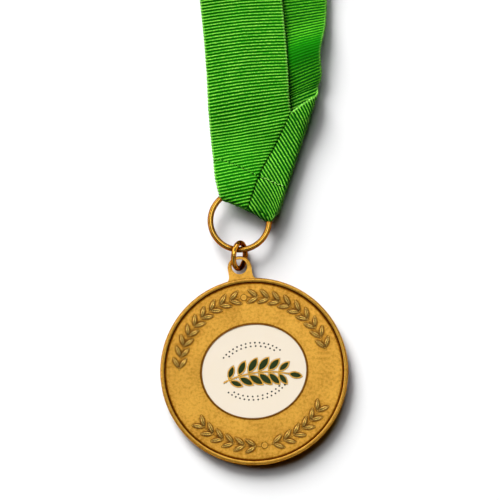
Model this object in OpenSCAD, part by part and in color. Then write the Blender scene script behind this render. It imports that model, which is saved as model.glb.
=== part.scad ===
/* [Medal] */
// Diameter of the round medal
medal_d = 50; // [48:0.5:52]
// Height of the top of the raised rim above the back face
rim_h = 3; // [2.8:0.1:3.4]
// Width of the rounded bead that makes the rim
rim_bead_w = 1.3; // [1.1:0.1:1.5]
// Height of the flat field above the back face
field_h = 2.2; // [2:0.1:2.4]
// Radius that rounds the edge of the back face
back_edge_r = 0.5; // [0.3:0.1:0.8]
// Angle by which the medal lies turned anticlockwise
medal_turn = 8; // [0:1:15]

/* [Lug] */
// Diameter of the hole in the lug
lug_hole_d = 4.1; // [3.9:0.1:4.3]
// Distance of the hole from the middle of the medal
lug_hole_reach = 28.25; // [28:0.05:28.5]
// Outer width of the lug
lug_w = 6.4; // [6.2:0.1:6.8]
// Distance of the middle of the lug's round end from the middle of the medal
lug_end_reach = 27.9; // [27.7:0.05:28.1]
// Height of the underside of the lug
lug_low = 1.6; // [1.5:0.05:1.7]
// Height of the top of the lug
lug_top = 2.8; // [2.6:0.05:2.9]
// Radius of the curves that widen the lug where it joins the rim
lug_flare_r = 1.9; // [1.5:0.1:2.2]

/* [Field ornament] */
// Radius of the stem of the garland
garland_r = 19.9; // [19.5:0.1:20.3]
// Length of one leaf
leaf_len = 3.4; // [3:0.1:3.6]
// Width of one leaf
leaf_w = 1.25; // [1:0.05:1.4]
// Angle between a leaf and the stem
leaf_splay = 33; // [28:1:38]
// How high the garland stands above the field
relief_h = 0.35; // [0.2:0.05:0.5]
// Leaf pairs on each half of the upper spray
upper_pairs = 9; // [6:1:9]
// Leaf pairs on each half of the lower spray
lower_pairs = 6; // [4:1:6]
// Angle along the rim from one leaf pair to the next
pair_step = 8.6; // [8.4:0.1:9]

/* [Enamel] */
// Length of the white enamel oval
enamel_len = 27.8; // [27:0.2:28.4]
// Width of the white enamel oval
enamel_w = 24.9; // [24:0.1:25.6]
// Width of the thin metal setting round the oval
setting_w = 0.35; // [0.25:0.05:0.5]
// How high the setting stands above the field
setting_h = 0.3; // [0.2:0.05:0.4]
// Height of the floor of the enamel pit
pit_floor = 1.5; // [1.2:0.1:1.6]
// Thickness of the gold lines of the picture
line_w = 0.26; // [0.2:0.02:0.34]
// Leaf pairs on the olive twig
twig_pairs = 6; // [4:1:6]
// Length of a leaf in the middle of the twig
twig_leaf_len = 4.9; // [4:0.1:5.2]
// Width of a leaf in the middle of the twig
twig_leaf_w = 2.2; // [1.8:0.1:2.3]

/* [Rings] */
// Outer diameter of the large ring
large_ring_d = 17.2; // [17:0.1:17.3]
// Thickness of the large ring's wire
large_wire_d = 1.55; // [1.4:0.05:1.6]
// Outer length of the oval jump ring
jump_len = 8.3; // [8.2:0.05:8.4]
// Width of the jump ring as seen from above
jump_seen_w = 4.4; // [4.3:0.05:4.5]
// Thickness of the jump ring's wire
jump_wire_d = 1.4; // [1.3:0.05:1.45]
// How steeply the jump ring leans from the table
jump_tilt = 57; // [56:1:58]

/* [Ribbon] */
// Width of the ribbon
ribbon_w = 22; // [21:0.5:23]
// Thickness of the ribbon's wall
ribbon_t = 1; // [1:0.1:1.2]
// Straight run of each strand that starts to turn on edge
run_flat = 60; // [50:5:80]
// Straight run of each strand that stands on its edge
run_edge = 150; // [120:10:180]
// Radius of the gentle outward bow of each strand
bow_r = 400; // [300:50:600]
// Angle by which the bow spreads each strand
bow_turn = 5.5; // [3:0.5:6]

/* [Hidden] */
$fn = 72;
gap = 0.05;
sunk = 0.4;

// Rim and lug
medal_r = medal_d / 2;
bead_r = rim_bead_w / 2;
lug_edge_r = 0.35;
lug_foot_reach = medal_r - 1.05;
lug_flare_reach = medal_r + 1;
lug_flare_turn = 56;
lug_flare_steps = 7;
overlap = 0.05;

// Garland
spray_stem_r = 0.24;
spray_boss_r = 0.75;
spray_boss_rise = 0.05;
upper_first_at = 11;
lower_first_at = 6.6;

// Enamel
white_top = field_h + 0.22;
green_top = field_h + 0.26;
line_top = field_h + 0.3;
oval_steps = 96;
twig_len = 17.6;
stem_w = 1.4 * line_w;
twig_leaf_lean = 46;
twig_leaf_foot = 0.35;
tip_leaf_foot = 0.2;
tip_leaf_share = 0.985;
// How far a leaf's end moves in, for each unit that its sides move in
point_inset = 1.6;
twig_bow_r = 26;
twig_centre = [0.3, -0.4];

// Rings: middle of each, worked out from where they lie on the table
large_ring_at = [-3.87, 40.28, 3.1];
large_path_r = (large_ring_d - large_wire_d) / 2;
jump_at = [-3.95, 30.85];
jump_lean = -7;
jump_half_len = (jump_len - jump_wire_d) / 2;
jump_half_w = (jump_seen_w - jump_wire_d) / 2 / cos(jump_tilt);
jump_z = jump_half_w * sin(jump_tilt) + jump_wire_d / 2;
jump_steps = 40;
jump_sides = 16;

// Ribbon: the V is drawn in a frame with its origin where the seam meets the bottom crease,
// u to the right across the seam and v up along it
seam_foot = [-1.95, 42.67];
seam_lean = 23.7;
seam_slit = 0.07;
crease_v = 1.9;
crease_z = 3.1;
crease_r = 1.4;
back_z = ribbon_t / 2;
crease_turn = -2.9;
flap_z = crease_z - crease_r;

// Columns across the ribbon: in front of the side crease, round it and behind it
front_cols = 3;
fold_cols = 6;
back_cols = 3;
last_col = front_cols + fold_cols + back_cols;

// Flat sections of the left strand, from the top down to the inner corner of the V
// inner x, inner y, inner z, outer x, outer y, outer z
LEFT_STRAND = [
    [8.35, 90.6, 1.9, -14.1, 88.9, 1.45],
    [9.0, 80.0, 1.8, -13.1, 78.1, 1.45],
    [9.5, 70.0, 1.8, -12.35, 68.1, 1.55]];

// Sections of the left half of the V, from its inner corner down to the bottom crease
// seam v, outer u, outer v, height
LEFT_V = [
    [25.0, -18.3, 16.7, 1.8],
    [20.0, -16.9, 14.0, 1.9],
    [15.0, -15.3, 11.2, 2.1],
    [10.0, -13.4, 7.8, 2.95],
    [5.7, -11.1, 4.4, 4.5],
    [3.6, -9.6, 2.6, 4.5]];

// Half widths of the sections round the bottom crease: turn, left u, right u
CREASE = [
    [0, 7.6, 6.0],
    [45, 6.3, 4.6],
    [90, 6.1, 4.4],
    [135, 6.1, 4.4],
    [180, 6.1, 4.4]];

// Half widths of the tip that is folded up behind: v, left u, right u
TIP = [
    [4.8, 4.3, 3.3],
    [7.6, 2.2, 1.9]];
tip_inner_v = 8.6;
tip_outer_v = 10.3;

// Sections of the right half of the V, which is folded behind along its side crease
// seam v, side crease axis u, its v, height, outer u behind, outer v behind
RIGHT_V = [
    [5.9, 4.0, 5.8, 4.5, 1.8, 5.8],
    [10.0, 4.35, 9.4, 2.95, -0.7, 9.4],
    [15.0, 4.45, 13.6, 2.1, -2.9, 12.3],
    [20.0, 4.3, 18.0, 1.9, -4.9, 14.9],
    [25.0, 4.1, 22.6, 1.8, -6.0, 16.2],
    [29.4, 3.85, 26.7, 1.8, -6.9, 17.3]];
side_r = 2;
side_axis_u = 4;

// Sections past the V's inner corner, where the inner selvage runs to the side crease
// inner u, inner v, side crease axis u, its v, outer u behind, outer v behind
FOLD_RUN = [
    [1.3, 31.7, 3.8, 30.1, -8.8, 19.8],
    [2.55, 34.0, 3.75, 33.3, -10.1, 21.5],
    [3.2, 35.2, 3.7, 35.0, -10.9, 22.5]];

// Sections whose inner selvage is on its way round the side crease
// turn at the inner selvage, side crease axis v, outer u behind, outer v behind
FOLD_ROUND = [
    [50, 36.9, -11.5, 23.3],
    [110, 38.1, -12.0, 23.9]];
fold_u = 3.65;
fold_z = 1.8;

// Sections of the corner between the bottom crease and the side crease
// seam v, axis v, height, turn, straight end
CORNER = [
    [3.2, 3.1, 4.68, 29, 1.15],
    [4.2, 4.0, 4.55, 85, 0.9],
    [5.0, 4.9, 4.5, 135, 1.2]];

// Flat sections of the right strand, from the side crease up
// inner x, inner y, inner z, outer x, outer y, outer z
RIGHT_STRAND = [
    [17.3, 78.0, 0.6, -3.5, 71.6, 0.5],
    [17.6, 81.0, 0.5, -3.6, 75.6, 0.5],
    [17.8, 85.5, 0.5, -3.7, 80.6, 0.5],
    [18.5, 92.6, 0.5, -3.35, 89.0, 0.5]];

// Neck loop: where it starts, how it leans and how its strands spread from its middle line
loop_foot = [2.27, 99.69];
loop_lean = 0.85;
loop_start = 5.93;
loop_spread = 4.05;
// Length along each strand at which it starts and ends its turn on to its edge. The left strand
// lies face up and the right one face down, so the band turns over once on its way round.
left_turn = [0, 150];
right_turn = [25, 175];
left_start_z = 1.25;
left_start_roll = 2;
right_start_roll = 180;
loop_turn_steps = 17;
loop_bend_steps = 13;
half_w = ribbon_w / 2;
end_spread = loop_spread + bow_turn;
bow_len = bow_r * bow_turn * PI / 180;
bow_out = bow_r * (cos(loop_spread) - cos(end_spread));
bow_along = bow_r * (sin(end_spread) - sin(loop_spread));
edge_out = loop_start + run_flat * sin(loop_spread) + bow_out + run_edge * sin(end_spread);
bend_r = edge_out / cos(end_spread);
straight_len = run_flat + bow_len + run_edge;
bend_len = bend_r * (90 + end_spread) * PI / 180;

// A leaf is what two circles share, with its foot at the origin and its tip along x
module leaf_shape(length, width) {
    r = (length * length / 4 + width * width / 4) / width;
    translate([length / 2, 0])
        intersection() {
            translate([0, r - width / 2]) circle(r, $fn = 180);
            translate([0, width / 2 - r]) circle(r, $fn = 180);
        }
}

module oval(length, width) {
    polygon([for (i = [0 : oval_steps - 1])
        let (a = 360 * i / oval_steps) [length / 2 * cos(a), width / 2 * sin(a)]]);
}

module disc_blank() {
    rotate_extrude()
        union() {
            square([medal_r - back_edge_r, field_h]);
            translate([0, back_edge_r]) square([medal_r - overlap, rim_h - bead_r - back_edge_r]);
            translate([medal_r - back_edge_r - overlap, back_edge_r]) circle(back_edge_r);
            translate([medal_r - bead_r, rim_h - bead_r]) circle(bead_r);
        }
}

// The round end of the lug, with rounded edges
module lug_end() {
    translate([0, lug_end_reach, 0])
        rotate_extrude()
            union() {
                translate([0, lug_low]) square([lug_w / 2 - lug_edge_r, lug_top - lug_low]);
                translate([0, lug_low + lug_edge_r])
                    square([lug_w / 2, lug_top - lug_low - 2 * lug_edge_r]);
                for (z = [lug_low + lug_edge_r, lug_top - lug_edge_r])
                    translate([lug_w / 2 - lug_edge_r, z]) circle(lug_edge_r);
            }
}

// The flare on one side of the lug, from the straight side down to the rim; side 1 is the right
function lug_flare(side) = [for (i = [0 : lug_flare_steps])
    let (a = lug_flare_turn * i / lug_flare_steps)
        [side * (lug_w / 2 - overlap + lug_flare_r * (1 - cos(a))), lug_flare_reach - lug_flare_r * sin(a)]];
function mirrored(points) = [for (i = [len(points) - 1 : -1 : 0]) points[i]];

// The straight stretch of the lug and its flared foot, which ends inside the rim's bead
module lug_foot() {
    foot_x = lug_flare(1)[lug_flare_steps].x;
    translate([0, 0, lug_low])
        linear_extrude(lug_top - lug_low)
            polygon(concat(
                [[overlap - lug_w / 2, lug_end_reach], [lug_w / 2 - overlap, lug_end_reach]],
                lug_flare(1),
                [[foot_x, lug_foot_reach], [-foot_x, lug_foot_reach]],
                mirrored(lug_flare(-1))));
}

module lug_hole() {
    translate([0, lug_hole_reach, -1]) cylinder(h = rim_h + 2, d = lug_hole_d);
}

// One leaf pair of the garland, at an angle round the medal, pointing the way that side says
module leaf_pair(angle, side) {
    rotate(angle)
        translate([garland_r, 0])
            for (lean = [leaf_splay, -leaf_splay])
                rotate(90 * side + lean) leaf_shape(leaf_len, leaf_w);
}

module spray_stem(start, sweep) {
    rotate([0, 0, start])
        rotate_extrude(angle = sweep)
            translate([garland_r, field_h]) circle(spray_stem_r, $fn = 24);
}

// Half of a spray of leaves, from its middle outwards; side 1 runs anticlockwise
module half_spray(middle, first_at, pairs, side, pointing) {
    translate([0, 0, field_h - sunk])
        linear_extrude(sunk + relief_h)
            for (i = [0 : pairs - 1])
                leaf_pair(middle + side * (first_at + pair_step * i), pointing);
}

module garland() {
    half_spray(90, upper_first_at, upper_pairs, 1, -1);
    half_spray(90, upper_first_at, upper_pairs, -1, 1);
    half_spray(270, lower_first_at, lower_pairs, 1, 1);
    half_spray(270, lower_first_at, lower_pairs, -1, -1);
    upper_reach = upper_first_at + (upper_pairs - 0.8) * pair_step;
    lower_reach = lower_first_at + (lower_pairs - 0.8) * pair_step;
    spray_stem(90 - upper_reach, 2 * upper_reach);
    spray_stem(270 - lower_reach, 2 * lower_reach);
    for (middle = [90, 270])
        rotate(middle)
            translate([garland_r, 0, field_h - sunk])
                cylinder(h = sunk + relief_h + spray_boss_rise, r = spray_boss_r);
}

module setting() {
    difference() {
        translate([0, 0, pit_floor - sunk])
            linear_extrude(field_h + setting_h - pit_floor + sunk)
                oval(enamel_len + 2 * setting_w, enamel_w + 2 * setting_w);
        enamel_pit();
    }
}

module enamel_pit() {
    translate([0, 0, pit_floor]) linear_extrude(rim_h) oval(enamel_len, enamel_w);
}

// Places of the twig's leaves: the share of the way along the stem, 0 to 1, and the leaf's size
function twig_share(i) = (i + 0.45) / (twig_pairs + 0.55);
function twig_size(share) = 0.74 + 0.26 * sin(180 * min(1, share * 1.1));
function twig_angle(share) = (share - 0.5) * twig_len / twig_bow_r * 180 / PI;

// Puts children on the stem, with x along it
module on_twig(share) {
    translate([twig_centre.x, twig_centre.y - twig_bow_r])
        rotate(90 - twig_angle(share))
            translate([twig_bow_r, 0])
                rotate(-90) children();
}

// A leaf made smaller all round by inset
module inset_leaf(length, width, inset) {
    translate([point_inset * inset, 0])
        leaf_shape(length - 2 * point_inset * inset, width - 2 * inset);
}

// The leaves of the twig, each made smaller by inset
module twig_leaves(inset) {
    for (i = [0 : twig_pairs - 1])
        for (side = [1, -1])
            let (share = twig_share(i), size = twig_size(share))
                on_twig(share)
                    rotate(side * twig_leaf_lean)
                        translate([twig_leaf_foot, 0])
                            inset_leaf(size * twig_leaf_len, size * twig_leaf_w, inset);
    on_twig(tip_leaf_share)
        translate([tip_leaf_foot, 0])
            inset_leaf(0.8 * twig_leaf_len, 0.85 * twig_leaf_w, inset);
}

// The curved stem, with its ends longer by reach
module twig_stem(width, reach) {
    difference() {
        translate([twig_centre.x, twig_centre.y - twig_bow_r])
            difference() {
                circle(twig_bow_r + width / 2, $fn = 360);
                circle(twig_bow_r - width / 2, $fn = 360);
            }
        translate([twig_centre.x, twig_centre.y - 2 * twig_bow_r])
            square([4 * twig_bow_r, 3.7 * twig_bow_r], center = true);
        for (side = [1, -1])
            translate([twig_centre.x + side * (twig_len / 2 + twig_bow_r + reach), twig_centre.y])
                square([2 * twig_bow_r, 2 * twig_bow_r], center = true);
    }
}

// Gold lines of the picture, which stand on the floor of the pit
module gold_lines() {
    translate([0, 0, pit_floor - sunk])
        linear_extrude(line_top - pit_floor + sunk)
            difference() {
                union() {
                    twig_stem(stem_w, 0);
                    twig_leaves(0);
                }
                twig_leaves(line_w);
            }
}

module medal_body() color("#c8943a")
    rotate(medal_turn) {
        difference() {
            union() {
                disc_blank();
                lug_end();
                lug_foot();
                garland();
            }
            lug_hole();
            enamel_pit();
        }
        gold_lines();
        setting();
    }

module white_enamel() color("#f3ecdf")
    rotate(medal_turn)
        translate([0, 0, pit_floor + gap])
            linear_extrude(white_top - pit_floor - gap)
                difference() {
                    oval(enamel_len - 2 * gap, enamel_w - 2 * gap);
                    twig_leaves(-gap);
                    twig_stem(stem_w + 2 * gap, gap);
                }

module green_enamel() color("#17331a")
    rotate(medal_turn)
        translate([0, 0, pit_floor + gap])
            linear_extrude(green_top - pit_floor - gap)
                twig_leaves(line_w + gap);

module large_ring() color("#b8862f")
    translate(large_ring_at)
        rotate_extrude($fn = 96)
            translate([large_path_r, 0]) circle(large_wire_d / 2, $fn = 36);

// Place on the jump ring's middle line, and the tube that follows it
function jump_path(a) = [jump_half_w * cos(a), jump_half_len * sin(a), 0];
function jump_side(a) = let (d = [jump_half_len * cos(a), jump_half_w * sin(a), 0]) d / norm(d);
function jump_points() = [for (i = [0 : jump_steps - 1], k = [0 : jump_sides - 1])
    let (a = 360 * i / jump_steps, b = 360 * k / jump_sides)
        jump_path(a) + jump_wire_d / 2 * (cos(b) * jump_side(a) + [0, 0, sin(b)])];
function jump_faces() = [for (i = [0 : jump_steps - 1], k = [0 : jump_sides - 1])
    let (i2 = (i + 1) % jump_steps, k2 = (k + 1) % jump_sides)
        [i * jump_sides + k, i * jump_sides + k2, i2 * jump_sides + k2, i2 * jump_sides + k]];

module jump_ring() color("#b8862f")
    translate([jump_at.x, jump_at.y, jump_z])
        rotate([0, jump_tilt, jump_lean])
            polyhedron(jump_points(), jump_faces(), convexity = 6);

// Ribbon functions. A section is a list of points across the ribbon, from its inner edge,
// which is the seam or the inner selvage, to its outer selvage.
function mix(a, b, f) = a + (b - a) * f;
function in_v(u, v, z) = [
    seam_foot.x + u * cos(seam_lean) + v * sin(seam_lean),
    seam_foot.y - u * sin(seam_lean) + v * cos(seam_lean),
    z];

// Shares of the width at which the columns lie, with the fold's columns from p to q
function col_share(k, p, q) =
    k <= front_cols ? p * k / front_cols :
    k <= front_cols + fold_cols ? mix(p, q, (k - front_cols) / fold_cols) :
    mix(q, 1, (k - front_cols - fold_cols) / back_cols);
function flat_section(inner, outer, p = 0.25, q = 0.75) =
    [for (k = [0 : last_col]) mix(inner, outer, col_share(k, p, q))];

// A section that goes over the side crease: across the front, round by turn and on behind
side_out = [cos(crease_turn), -sin(crease_turn)];
function over_crease(axis_u, axis_v, z, r, a) = in_v(
    axis_u + r * sin(a) * side_out.x,
    axis_v + r * sin(a) * side_out.y,
    z - r * (1 - cos(a)));
function fold_section(inner, u, v, z, r, turn, outer) = concat(
    [for (k = [0 : front_cols - 1]) mix(inner, in_v(u, v, z), k / front_cols)],
    [for (k = [0 : fold_cols]) over_crease(u, v, z, r, turn * k / fold_cols)],
    [for (k = [1 : back_cols]) mix(over_crease(u, v, z, r, turn), outer, k / back_cols)]);

function left_strand() = [for (row = LEFT_STRAND)
    flat_section([row[0], row[1], row[2]], [row[3], row[4], row[5]])];
function left_v() = [for (row = LEFT_V)
    flat_section(in_v(-seam_slit, row[0], row[3]), in_v(row[1], row[2], row[3]))];
function crease_point(turn, u) = in_v(u, crease_v - crease_r * sin(turn), crease_z + crease_r * cos(turn));
function left_crease() = [for (row = CREASE)
    flat_section(crease_point(row[0], -seam_slit), crease_point(row[0], -row[1]))];
function left_tip() = [for (row = TIP)
    flat_section(in_v(-seam_slit, row[0], flap_z), in_v(-row[1], row[0], flap_z))];
function tip_end() = [
    flat_section(in_v(0, tip_inner_v, flap_z), in_v(0, tip_outer_v, flap_z))];
function right_tip() = [for (i = [len(TIP) - 1 : -1 : 0])
    let (row = TIP[i])
        flat_section(in_v(seam_slit, row[0], flap_z), in_v(row[2], row[0], flap_z))];
function right_crease() = [for (i = [len(CREASE) - 1 : -1 : 0])
    let (row = CREASE[i])
        flat_section(crease_point(row[0], seam_slit), crease_point(row[0], row[2]), 0.66, 0.86)];

// The corner where the selvage goes round the side crease, with a short straight end past the bend
function bend_way(a) = in_v(cos(a) * side_out.x, cos(a) * side_out.y, -sin(a)) - in_v(0, 0, 0);
function right_corner() = [for (row = CORNER)
    fold_section(in_v(seam_slit, row[0], row[2]), side_axis_u, row[1], row[2], side_r, row[3],
        over_crease(side_axis_u, row[1], row[2], side_r, row[3]) + row[4] * bend_way(row[3]))];
function right_v() = [for (row = RIGHT_V)
    fold_section(in_v(seam_slit, row[0], row[3]), row[1], row[2], row[3],
        (row[3] - back_z) / 2, 180, in_v(row[4], row[5], back_z))];

function fold_run() = [for (row = FOLD_RUN)
    fold_section(in_v(row[0], row[1], fold_z), row[2], row[3], fold_z,
        (fold_z - back_z) / 2, 180, in_v(row[4], row[5], back_z))];
function fold_round() = [for (row = FOLD_ROUND)
    let (round_cols = front_cols + fold_cols, r = (fold_z - back_z) / 2,
         way = [for (k = [0 : round_cols])
             over_crease(fold_u, row[1], fold_z, r, mix(row[0], 180, k / round_cols))])
        concat(way, [for (k = [1 : back_cols])
            mix(way[round_cols], in_v(row[2], row[3], back_z), k / back_cols)])];
function right_strand() = [for (row = RIGHT_STRAND)
    flat_section([row[0], row[1], row[2]], [row[3], row[4], row[5]], 0.04, 0.14)];

// Place on the loop: how far out from its middle line, how far along it, and the heading
function loop_place(s) =
    s <= run_flat ? [loop_start + s * sin(loop_spread), s * cos(loop_spread), loop_spread] :
    s <= run_flat + bow_len ?
        let (h = loop_spread + (s - run_flat) / bow_r * 180 / PI)
            [loop_start + run_flat * sin(loop_spread) + bow_r * (cos(loop_spread) - cos(h)),
             run_flat * cos(loop_spread) + bow_r * (sin(h) - sin(loop_spread)), h] :
    s <= straight_len ?
        let (d = straight_len - s)
            [edge_out - d * sin(end_spread), loop_along() - d * cos(end_spread), end_spread] :
        let (h = end_spread - (s - straight_len) / bend_r * 180 / PI)
            [edge_out + bend_r * (cos(h) - cos(end_spread)),
             loop_along() + bend_r * (sin(end_spread) - sin(h)), h];
function loop_along() = run_flat * cos(loop_spread) + bow_along + run_edge * cos(end_spread);
function ease(f) = let (c = max(0, min(1, f))) c * c * (3 - 2 * c);
function loop_xyz(out, along, z, side) = [
    loop_foot.x + side * out * cos(loop_lean) - along * sin(loop_lean),
    loop_foot.y + side * out * sin(loop_lean) + along * cos(loop_lean),
    z];

// One section of the loop; side -1 is the left strand and 1 the right one
function loop_section(s, side) =
    let (place = loop_place(s), h = place[2],
         span = side < 0 ? left_turn : right_turn,
         first = side < 0 ? left_start_roll : right_start_roll,
         roll = mix(first, 90, ease((s - span[0]) / (span[1] - span[0]))),
         lift = side < 0 ? left_start_z * (1 - ease(s / run_flat)) : 0,
         z = lift + ribbon_t / 2 * abs(cos(roll)) + half_w * sin(roll),
         out = half_w * cos(roll) * cos(h), along = half_w * cos(roll) * sin(h))
        flat_section(
            loop_xyz(place[0] - out, place[1] + along, z + half_w * sin(roll), side),
            loop_xyz(place[0] + out, place[1] - along, z - half_w * sin(roll), side));
loop_stations = concat(
    [for (i = [0 : loop_turn_steps]) straight_len * i / loop_turn_steps],
    [for (i = [1 : loop_bend_steps]) straight_len + bend_len * i / loop_bend_steps]);
function left_loop() = [for (i = [len(loop_stations) - 1 : -1 : 0]) loop_section(loop_stations[i], -1)];
function right_loop() = [for (i = [0 : len(loop_stations) - 2]) loop_section(loop_stations[i], 1)];

sections = concat(left_loop(), left_strand(), left_v(), left_crease(), left_tip(), tip_end(),
    right_tip(), right_crease(), right_corner(), right_v(), fold_run(), fold_round(),
    right_strand(), right_loop());

// The wall has half its thickness on each side of the sections
function unit(v) = v / norm(v);
function wall_normal(i, k) =
    let (n = len(sections), here = sections[i],
         along = sections[(i + 1) % n][k] - sections[(i + n - 1) % n][k],
         across = here[min(last_col, k + 1)] - here[max(0, k - 1)])
        unit(cross(along, across));
cols = last_col + 1;
function ribbon_points() = [for (i = [0 : len(sections) - 1], side = [1, -1], k = [0 : last_col])
    sections[i][k] + side * ribbon_t / 2 * wall_normal(i, k)];
function ribbon_id(i, side, k) = (i % len(sections)) * 2 * cols + side * cols + k;
function two_triangles(a, b, c, d) = [[a, b, c], [a, c, d]];

// The two triangles between columns k and k2 of section i and of the next one, on one side
function wall_face(i, side, k, k2) = two_triangles(
    ribbon_id(i, side, k), ribbon_id(i, side, k2), ribbon_id(i + 1, side, k2), ribbon_id(i + 1, side, k));
function ribbon_faces() = [for (i = [0 : len(sections) - 1])
    for (face = concat(
        [for (k = [0 : last_col - 1]) for (t = wall_face(i, 0, k, k + 1)) t],
        [for (k = [0 : last_col - 1]) for (t = wall_face(i, 1, k + 1, k)) t],
        two_triangles(ribbon_id(i, 1, 0), ribbon_id(i, 0, 0), ribbon_id(i + 1, 0, 0), ribbon_id(i + 1, 1, 0)),
        two_triangles(ribbon_id(i, 0, last_col), ribbon_id(i, 1, last_col),
            ribbon_id(i + 1, 1, last_col), ribbon_id(i + 1, 0, last_col)))) face];

module neck_ribbon() color("#35b01c")
    polyhedron(ribbon_points(), ribbon_faces(), convexity = 10);

medal_body();
white_enamel();
green_enamel();
jump_ring();
large_ring();
neck_ribbon();
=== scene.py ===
import math

import bpy
import numpy as np
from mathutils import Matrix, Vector


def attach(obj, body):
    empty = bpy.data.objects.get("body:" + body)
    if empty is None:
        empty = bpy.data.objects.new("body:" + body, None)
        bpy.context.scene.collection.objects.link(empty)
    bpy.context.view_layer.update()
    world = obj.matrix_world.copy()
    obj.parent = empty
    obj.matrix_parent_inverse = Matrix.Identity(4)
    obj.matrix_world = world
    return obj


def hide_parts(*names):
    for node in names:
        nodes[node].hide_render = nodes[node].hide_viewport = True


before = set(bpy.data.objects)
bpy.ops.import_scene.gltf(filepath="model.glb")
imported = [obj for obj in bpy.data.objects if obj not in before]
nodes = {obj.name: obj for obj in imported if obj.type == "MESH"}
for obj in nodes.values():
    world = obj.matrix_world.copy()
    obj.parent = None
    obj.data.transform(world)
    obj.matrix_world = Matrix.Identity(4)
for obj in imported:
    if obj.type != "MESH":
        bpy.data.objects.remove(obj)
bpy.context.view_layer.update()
MM = 0.001


def new_object(name, data):
    obj = bpy.data.objects.new(name, data)
    bpy.context.scene.collection.objects.link(obj)
    return obj


# The camera: nearly straight above, with a long lens. Its distances are in metres
CAMERA_ELEVATION = math.radians(83)
CAMERA_TARGET = Vector((-1.12, 32.4, 3)) * MM
CAMERA_DISTANCE = 1.0
FIELD_WIDTH = 0.13333
SENSOR_WIDTH = 36
camera_data = bpy.data.cameras.new("camera")
camera = new_object("camera", camera_data)
camera_data.sensor_width = SENSOR_WIDTH
camera_data.lens = SENSOR_WIDTH * CAMERA_DISTANCE / FIELD_WIDTH
camera_data.clip_start = 0.05
camera_data.clip_end = 20
camera.location = CAMERA_TARGET + CAMERA_DISTANCE * Vector(
    (0, -math.cos(CAMERA_ELEVATION), math.sin(CAMERA_ELEVATION)))
camera.rotation_euler = (math.pi / 2 - CAMERA_ELEVATION, 0, 0)
bpy.context.scene.camera = camera

# The ribbon, in millimetres: its cloth and ribs, and the mesh's rows along it and columns across it
RIBBON_W = 22.0
HALF_W = RIBBON_W / 2
WALL = 0.46
RIB_PITCH = 0.85
RIB_RISE = 0.15
SELVAGE_W = 0.3
ROWS_PER_RIB = 6
FAR_ROWS_PER_RIB = 3
COLUMNS = 12

# At its edges the cloth is thinner and the ribs end in small loops, more so at a selvage than in the
# seam: shares of the thickness, and how far the loops stand out
SELVAGE_THIN = 0.45
SEAM_THIN = 0.8
SELVAGE_LOOP = 0.12
SEAM_LOOP = 0.03

# The V is drawn in a frame whose origin is where its seam meets the bottom crease,
# with u to the right across the seam and v up along it
SEAM_FOOT = (-1.95, 42.67)
SEAM_LEAN = math.radians(23.7)
RIB_LEAN = math.radians(34)
# Half of the gap at the seam, and how deep and how far in the halves dip towards it
SEAM_GAP = 0.08
SEAM_GAP_OVER_RING = 0.015
LEFT_DIP = 0.15
LEFT_DIP_REACH = 0.4
RIGHT_DIP = 0.35
RIGHT_DIP_REACH = 0.9
# The seam's top and the V's tip, how much of the tip the rows leave out, how far and which way the
# right half's inner selvage goes on past the seam's top, and the middle of the large ring
V_TOP = 29.4
V_TIP = -10.9
TIP_MARGIN = 0.15
BEYOND_V = 12.2
INNER_SELVAGE_WAY = np.array([0.5, 0.866])
RING_UV = (-0.797, -2.96)

# Rows of the V: their longest and shortest lengths, the steps in which they are measured, the samples
# between which their points are placed, the weight that a bend has there against the length, and the
# rows on each side that even out a length
LONGEST_ROW = 26.0
SHORTEST_ROW = 0.05
FINE_STEP = 0.025
ROW_SAMPLES = 161
BEND_WEIGHT = 0.25
EVEN_OUT = 6

# The seam bows to the left: by how much, where the most, and how far up and down
SEAM_BOW = 0.92
BOW_AT = 11.0
BOW_REACH = 8.5

# Heights of the middle of the V's front layer: near the table, its rises over the layer behind, over
# the flap and towards the upper strand, its height over the large ring and the distances from the
# ring's middle between which it falls from there, and its dip at the stitches
FRONT_Z = 0.45
BACK_RISE = 1.05
FLAP_RISE = 0.35
STRAND_RISE = 1.5
OVER_RING_Z = 4.15
RING_TENT = (8.3, 24.3)
STITCH_DIP = 0.25
STITCH_DIP_REACH = 0.7
# The slanting left edge of the layer behind: a point of it and the way across it
BACK_EDGE = (-12.4, 24.4)
BACK_EDGE_N = (0.789, 0.615)

# Bottom crease: its place and how much it drops to the right and to the left, the height of its axis,
# its radius, and the fall of the flap behind it
CREASE_V = 1.48
CREASE_RIGHT_DROP = 0.75
CREASE_LEFT_DROP = 0.2
CREASE_Z = 3.1
CREASE_R = 1.05
FLAP_FALL = 1.2

# Side crease: where the line of its outermost points meets the u axis, the line's lean, the crease's
# reach sideways, its radius upright and what it has more at the foot, how much further in its axis is
# there, and the turn from which a row counts as behind
SIDE_U = 8.36
SIDE_LEAN = math.radians(5.6)
SIDE_REACH = 0.5
SIDE_R = 1.0
FOOT_R_MORE = 0.9
FOOT_IN = 1.2
BEHIND_FROM = 3.0
# Heights of the layer behind it: on the table, and its rises up the V
BACK_Z = 0.3
BACK_RISES = (1.3, 0.9)
# Just before it the rows bend down the picture: by how much, from how far, how much less halfway up
EDGE_BEND = 1.2
EDGE_BEND_REACH = 1.5
EDGE_BEND_LESS = 0.75
# Where rows end near its foot: past its axis, and inside the corner with the bottom crease
FOOT_END = SIDE_REACH + 0.25
NO_END = 60.0
CORNER_U = 7.1
CORNER_IN = 2.4

# Left selvage of the V: v, u
LEFT_SELVAGE = [(-10.9, -0.2), (0.0, -7.75), (1.77, -9.1), (4.39, -11.1), (7.8, -13.1), (9.0, -13.6),
                (11.4, -15.1), (15.6, -17.5), (18.5, -19.1), (25.0, -22.6)]

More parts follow.
